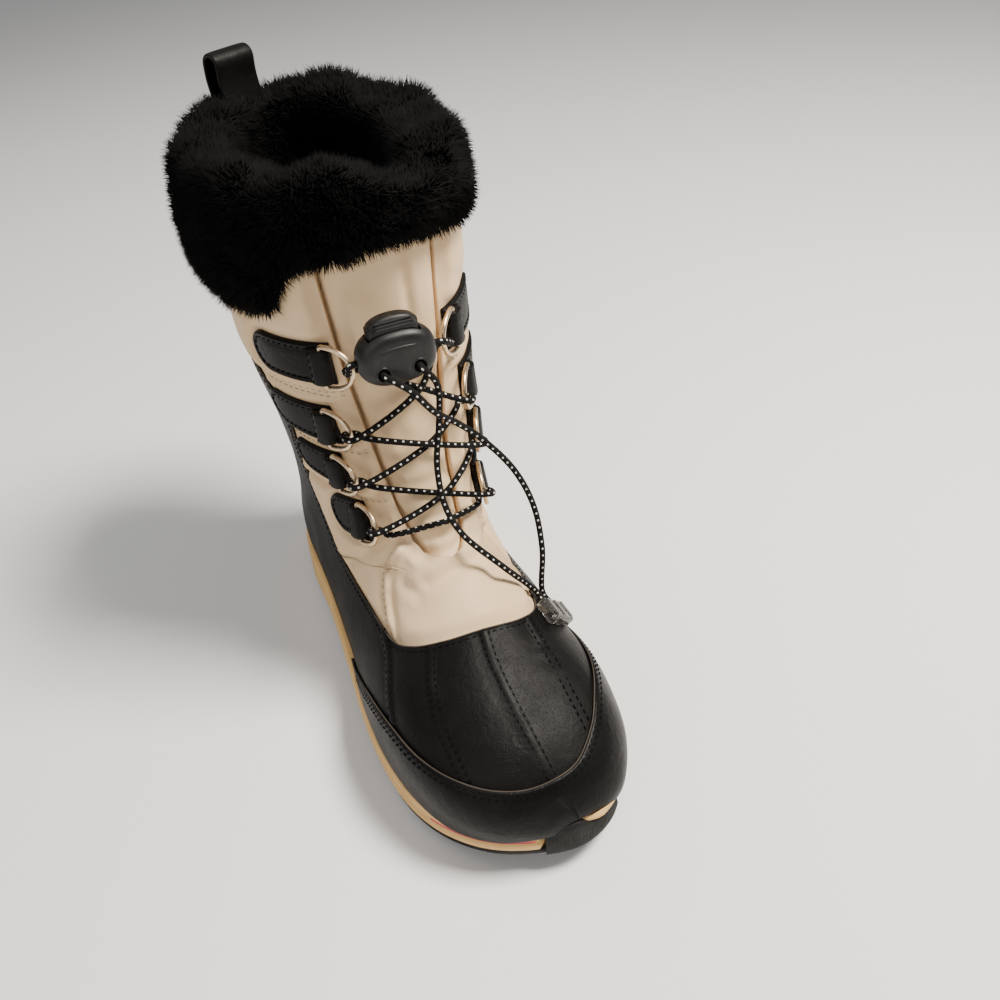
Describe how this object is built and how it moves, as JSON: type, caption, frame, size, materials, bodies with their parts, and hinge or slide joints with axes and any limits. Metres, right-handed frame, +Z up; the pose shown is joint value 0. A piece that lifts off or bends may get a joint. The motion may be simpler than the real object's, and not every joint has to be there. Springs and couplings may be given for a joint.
{
  "type": "snow boot",
  "caption": "Insulated snow boot with a deep fur collar, elastic lacing through D-rings, a cord lock, a black toe cap and a foam and rubber sole.",
  "frame": {"origin": "on the ground under the centre of the boot's box", "axes": "+Z up, the toe points to -Y, the wearer's outer side is -X"},
  "size_m": [0.1299, 0.2756, 0.2783],
  "materials": {
    "black_rubber": "moulded, matt, lightly scuffed",
    "cream_foam": "moulded foam, matt, a little yellowed",
    "footbed_felt": "felted pile",
    "cream_cloth": "smooth coated cloth, padded, softly creased",
    "black_fur": "deep soft pile",
    "black_leather": "grained, half matt",
    "pale_metal": "pale gold plated wire, worn",
    "elastic_cord": "braided, with pale flecks",
    "black_plastic": "moulded, half matt",
    "clear_plastic": "clear, scratched"
  },
  "bodies": {
    "boot": {"outsole": "black_rubber", "midsole": "cream_foam", "insole": "footbed_felt", "upper": "cream_cloth", "tongue": "cream_cloth", "fur_cuff": "black_fur", "pull_loop": "black_leather", "ring_tab_l1": "black_leather", "d_ring_l1": "pale_metal", "ring_tab_l2": "black_leather", "d_ring_l2": "pale_metal", "ring_tab_l3": "black_leather", "d_ring_l3": "pale_metal", "ring_tab_l4": "black_leather", "d_ring_l4": "pale_metal", "ring_tab_r1": "black_leather", "d_ring_r1": "pale_metal", "ring_tab_r2": "black_leather", "d_ring_r2": "pale_metal", "ring_tab_r3": "black_leather", "d_ring_r3": "pale_metal", "ring_tab_r4": "black_leather", "d_ring_r4": "pale_metal", "lace": "elastic_cord", "lock_body": "black_plastic", "cord_left": "elastic_cord", "cord_right": "elastic_cord", "cord_clip": "clear_plastic"},
    "lock_button": {"lock_button": "black_plastic"}
  },
  "joints": [
    {"name": "button_press", "type": "slide", "parent": "boot", "child": "lock_button", "axis": [-0.0027, -0.0371, -0.9993], "range_m": [0, 0.0042], "stiffness_N_per_m": 1500}
  ]
}
